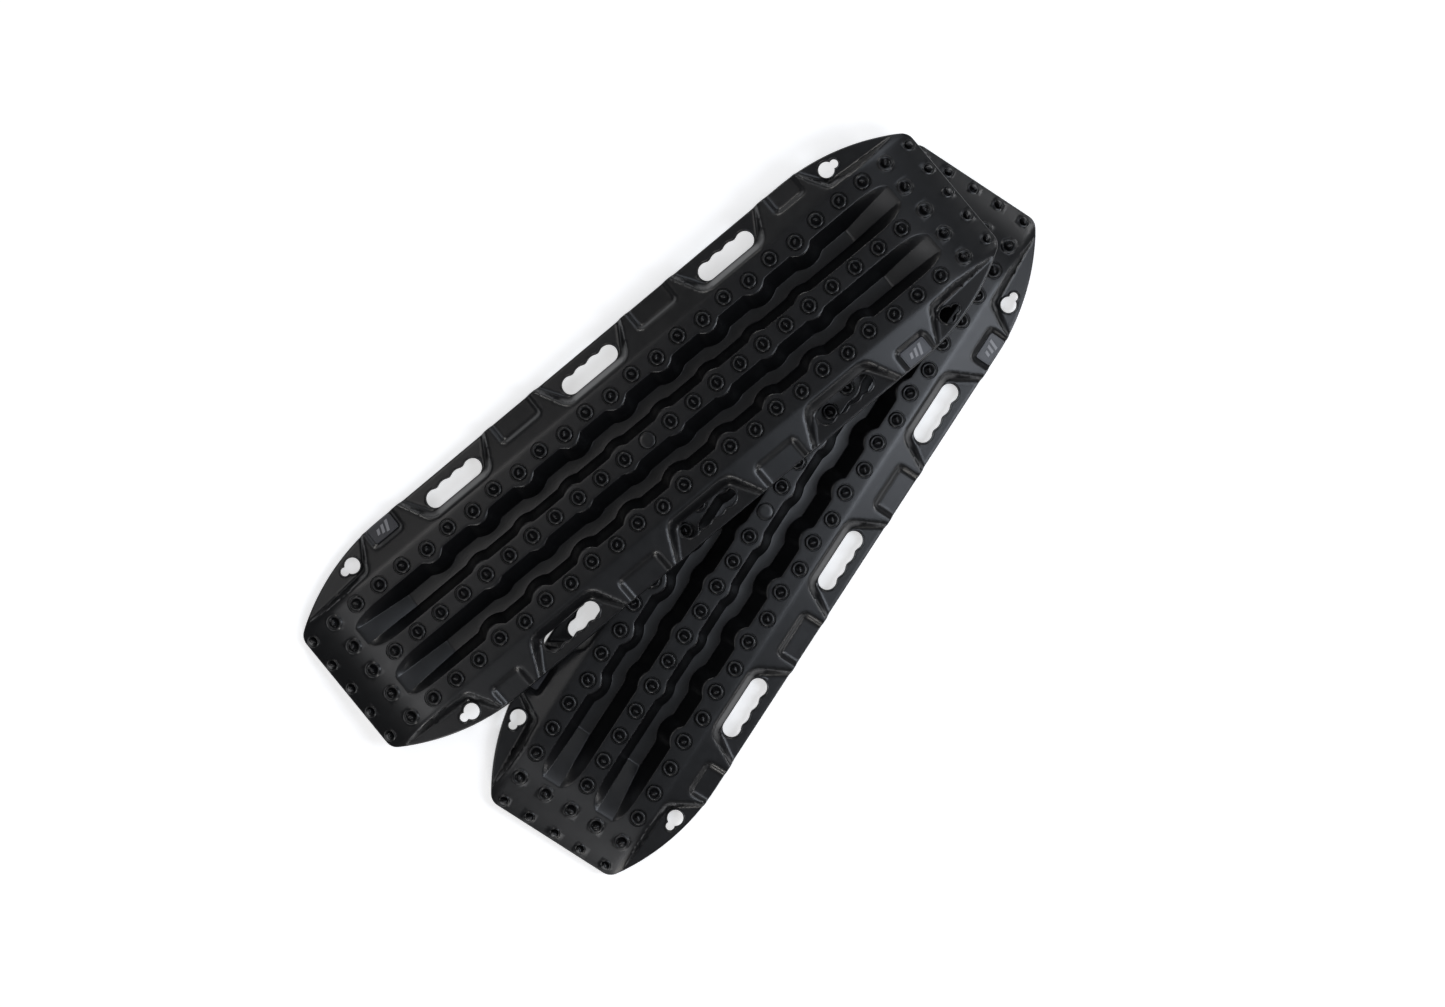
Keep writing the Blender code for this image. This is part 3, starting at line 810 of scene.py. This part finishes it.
def badge_mesh():
    """A bevelled plate with a sunk field and three raised slanting bars."""
    shell = Shell()
    levels = (
        (0.0, 0.0), (0.0, 0.0008), (0.0006, BADGE_THICKNESS), (0.0020, BADGE_THICKNESS),
        (0.0024, BADGE_FIELD))
    last = None
    first = None
    for inset, z in levels:
        ring = rounded_box(
            BADGE_LENGTH - 2 * inset, BADGE_WIDTH - 2 * inset, BADGE_CORNER - inset, 6)
        added = shell.add(ring[:, 0], ring[:, 1], z)
        if last is None:
            first = added
        else:
            shell.bridge(last, added)
        last = added
    shell.faces.append(tuple(reversed(first)))
    shell.faces.append(tuple(last))
    plate_faces = len(shell.faces)
    for k, height in enumerate(BAR_HEIGHTS):
        centre = (k - 1) * BAR_SPACING
        rows = []
        for inset, z in ((0.0, 0.00105), (0.0, 0.0016), (0.0004, 0.0018)):
            half = BAR_HALF - inset
            tall = height / 2 - inset
            corners = ((-half, -tall), (half, -tall), (half, tall), (-half, tall))
            xs = np.array([centre + u + v * BAR_LEAN for u, v in corners])
            ys = np.array([v for _, v in corners])
            rows.append(shell.add(xs, ys, z))
        shell.bridge(rows[0], rows[1])
        shell.bridge(rows[1], rows[2])
        shell.faces.append(tuple(rows[2]))
        shell.faces.append(tuple(reversed(rows[0])))
    mesh = bpy.data.meshes.new("badge_surface")
    mesh.from_pydata(shell.points.tolist(), [], shell.faces)
    for number, face in enumerate(mesh.polygons):
        face.material_index = 1 if number >= plate_faces else 0
    tidy = bmesh.new()
    tidy.from_mesh(mesh)
    bmesh.ops.recalc_face_normals(tidy, faces=tidy.faces)
    tidy.to_mesh(mesh)
    tidy.free()
    return mesh


def badge_height():
    """Height of a badge's underside at its centre, just clear of the floor of its pad."""
    tilt = math.atan(FLANK_SLOPE)
    surface = RIDGE_TOP - (BADGE_CENTRE - CREASE) * FLANK_SLOPE
    return surface - (END_PAD[3] - BADGE_LIFT) / math.cos(tilt)


# ---- materials ----

CLOUD_SCALE = 9.0
SPECK_SCALE = 520.0
GLOSS_SCALE = 60.0
GRAIN_SCALE = 900.0
GRAIN_DEPTH = 0.0003


def plastic(name, dark, light, rough, grain):
    """Moulded plastic: slow changes of tone and gloss under a fine leathery grain."""
    material = bpy.data.materials.new(name)
    material.use_nodes = True
    nodes = material.node_tree.nodes
    links = material.node_tree.links
    shader = nodes["Principled BSDF"]
    place = nodes.new("ShaderNodeTexCoord")

    def noise(scale, detail, roughness):
        made = nodes.new("ShaderNodeTexNoise")
        made.inputs["Scale"].default_value = scale
        made.inputs["Detail"].default_value = detail
        made.inputs["Roughness"].default_value = roughness
        links.new(place.outputs["Object"], made.inputs["Vector"])
        return made.outputs["Fac"]

    def spread(source, low, high, start=0.35, end=0.65):
        made = nodes.new("ShaderNodeMapRange")
        made.inputs["From Min"].default_value = start
        made.inputs["From Max"].default_value = end
        made.inputs["To Min"].default_value = low
        made.inputs["To Max"].default_value = high
        links.new(source, made.inputs["Value"])
        return made.outputs["Result"]

    cloud = noise(CLOUD_SCALE, 3.0, 0.55)
    speck = noise(SPECK_SCALE, 2.0, 0.6)
    tone = nodes.new("ShaderNodeMath")
    tone.operation = "MULTIPLY_ADD"
    links.new(speck, tone.inputs[0])
    tone.inputs[1].default_value = 0.45
    links.new(spread(cloud, 0.0, 0.55), tone.inputs[2])
    blend = nodes.new("ShaderNodeMix")
    blend.data_type = "RGBA"
    blend.inputs["A"].default_value = (*dark, 1.0)
    blend.inputs["B"].default_value = (*light, 1.0)
    links.new(tone.outputs["Value"], blend.inputs["Factor"])
    links.new(blend.outputs["Result"], shader.inputs["Base Color"])
    gloss = spread(noise(GLOSS_SCALE, 4.0, 0.6), rough - 0.015, rough + 0.02)
    links.new(gloss, shader.inputs["Roughness"])
    cells = nodes.new("ShaderNodeTexVoronoi")
    cells.feature = "SMOOTH_F1"
    cells.inputs["Scale"].default_value = GRAIN_SCALE
    links.new(place.outputs["Object"], cells.inputs["Vector"])
    bump = nodes.new("ShaderNodeBump")
    bump.inputs["Strength"].default_value = grain
    bump.inputs["Distance"].default_value = GRAIN_DEPTH
    links.new(cells.outputs["Distance"], bump.inputs["Height"])
    links.new(bump.outputs["Normal"], shader.inputs["Normal"])
    return material


nylon = plastic("board_nylon", (0.0022, 0.0023, 0.0027), (0.0050, 0.0051, 0.0058), 0.31, 0.10)
badge_plate = plastic("badge_plate", (0.030, 0.031, 0.036), (0.046, 0.047, 0.052), 0.36, 0.08)
badge_mark = plastic("badge_mark", (0.19, 0.19, 0.20), (0.24, 0.24, 0.25), 0.38, 0.05)


# ---- pieces ----

low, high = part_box("lower_board")
lower_place = Matrix.Translation(((low.x + high.x) / 2, (low.y + high.y) / 2, low.z))
upper_turn = Euler((LEAN_ROLL, LEAN_PITCH, FAN_ANGLE), "XYZ").to_matrix().to_4x4()
upper_shift = Matrix.Translation((FAN_OFFSET[0], FAN_OFFSET[1], LEAN_HEIGHT))
upper_place = lower_place @ upper_shift @ upper_turn

board = board_mesh()
board.materials.append(nylon)
badge = badge_mesh()
badge.materials.append(badge_plate)
badge.materials.append(badge_mark)


def add_piece(name, mesh, place, body, node):
    placed = mesh.copy()
    placed.transform(place)
    piece = bpy.data.objects.new(name, placed)
    bpy.context.scene.collection.objects.link(piece)
    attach(piece, body)
    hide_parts(node)


for body, place in (("lower", lower_place), ("upper", upper_place)):
    add_piece(body + "_board_shell", board, place, body, body + "_board")
    for hand, side in (("left", 1), ("right", -1)):
        spot = Matrix.Translation((-side * END_PAD[0], side * BADGE_CENTRE, badge_height()))
        tilt = Euler((-side * math.atan(FLANK_SLOPE), 0.0, 0.0)).to_matrix().to_4x4()
        node = f"{body}_badge_{hand}"
        add_piece(node + "_plate", badge, place @ spot @ tilt, body, node)

# ---- floor, light and camera ----

centre = lower_place.translation
FLOOR_HALF = 40.0
FLOOR_DROP = 0.0004
corners = [(-FLOOR_HALF, -FLOOR_HALF), (FLOOR_HALF, -FLOOR_HALF), (FLOOR_HALF, FLOOR_HALF),
           (-FLOOR_HALF, FLOOR_HALF)]
floor_mesh = bpy.data.meshes.new("floor")
floor_mesh.from_pydata([(x, y, -FLOOR_DROP) for x, y in corners], [], [(0, 1, 2, 3)])
floor = bpy.data.objects.new("floor", floor_mesh)
bpy.context.scene.collection.objects.link(floor)
paper = bpy.data.materials.new("paper")
paper.use_nodes = True
paper_shader = paper.node_tree.nodes["Principled BSDF"]
paper_shader.inputs["Base Color"].default_value = (0.90, 0.90, 0.90, 1.0)
paper_shader.inputs["Roughness"].default_value = 0.9
paper_shader.inputs["Specular IOR Level"].default_value = 0.1
paper_shader.inputs["Emission Color"].default_value = (1.0, 1.0, 1.0, 1.0)
paper_shader.inputs["Emission Strength"].default_value = 0.52
floor_mesh.materials.append(paper)
floor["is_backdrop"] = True

world = bpy.data.worlds.new("studio")
bpy.context.scene.world = world
world.use_nodes = True
background = world.node_tree.nodes["Background"]
background.inputs["Color"].default_value = (0.90, 0.94, 1.0, 1.0)
background.inputs["Strength"].default_value = 0.07


LIGHT_DISTANCE = 2.6


def lamp(name, shape, offset, size, power, colour):
    """A flat light that faces the lower board from an offset above it."""
    data = bpy.data.lights.new(name, "AREA")
    data.shape = shape
    data.size, data.size_y = size
    data.energy = power
    data.color = colour
    made = bpy.data.objects.new(name, data)
    bpy.context.scene.collection.objects.link(made)
    made.location = centre + offset
    made.rotation_euler = offset.to_track_quat("Z", "Y").to_euler()


def round_lamp(name, tilt, azimuth, size, power, colour):
    """A round light at LIGHT_DISTANCE, tilt degrees off straight up."""
    tilt = math.radians(tilt)
    azimuth = math.radians(azimuth)
    away = Vector((
        math.sin(tilt) * math.cos(azimuth), math.sin(tilt) * math.sin(azimuth), math.cos(tilt)))
    lamp(name, "DISK", away * LIGHT_DISTANCE, (size, size), power, colour)


lamp("key_softbox", "RECTANGLE", Vector((0.46, -1.15, 2.30)), (0.75, 1.25), 20.5, (0.84, 0.90, 1.0))
lamp("far_softbox", "RECTANGLE", Vector((-0.30, 1.65, 2.15)), (0.7, 1.0), 5.6, (1.0, 0.97, 0.96))
round_lamp("top_right", 18.0, 0.0, 0.80, 3.0, (0.90, 0.93, 1.0))
round_lamp("right_far", 50.0, 30.0, 1.20, 7.5, (0.84, 0.90, 1.0))
round_lamp("left_near", 54.0, 200.0, 0.80, 6.0, (0.96, 0.97, 1.0))
round_lamp("low_left", 68.0, 210.0, 0.45, 7.5, (1.0, 0.97, 0.93))
round_lamp("low_near", 68.0, 265.0, 0.45, 4.5, (1.0, 0.98, 0.98))
round_lamp("near_spark", 57.0, 294.0, 0.34, 8.0, (0.97, 0.98, 1.0))
round_lamp("right_spark", 60.0, 345.0, 0.34, 5.5, (0.97, 0.98, 1.0))
round_lamp("left_end", 32.0, 188.0, 0.80, 2.2, (0.96, 0.97, 1.0))
round_lamp("upper_left_end", 38.0, 145.0, 0.80, 4.5, (0.98, 0.98, 1.0))
round_lamp("low_far", 68.0, 60.0, 0.45, 7.0, (1.0, 0.98, 0.95))

CAMERA_TURN = math.radians(-56.9)
CAMERA_LEAN = math.radians(5.0)
CAMERA_DISTANCE = 6.0
VIEW_WIDTH = 2.1093
AIM_OFFSET = Vector((-0.0243, 0.0587, RIDGE_TOP))
SENSOR_WIDTH = 36.0
aim = centre + AIM_OFFSET
back = Vector((0.0, math.sin(CAMERA_LEAN), math.cos(CAMERA_LEAN)))
side = Vector((-math.sin(CAMERA_TURN), math.cos(CAMERA_TURN), 0.0)).cross(back).normalized()
camera_data = bpy.data.cameras.new("camera")
camera_data.sensor_width = SENSOR_WIDTH
camera_data.lens = SENSOR_WIDTH * CAMERA_DISTANCE / VIEW_WIDTH
camera_data.clip_end = 50.0
camera = bpy.data.objects.new("camera", camera_data)
bpy.context.scene.collection.objects.link(camera)
turn = Matrix((side, back.cross(side), back)).transposed().to_4x4()
camera.matrix_world = Matrix.Translation(aim + back * CAMERA_DISTANCE) @ turn
bpy.context.scene.camera = camera
bpy.context.scene.view_settings.view_transform = "Standard"

low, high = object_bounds()
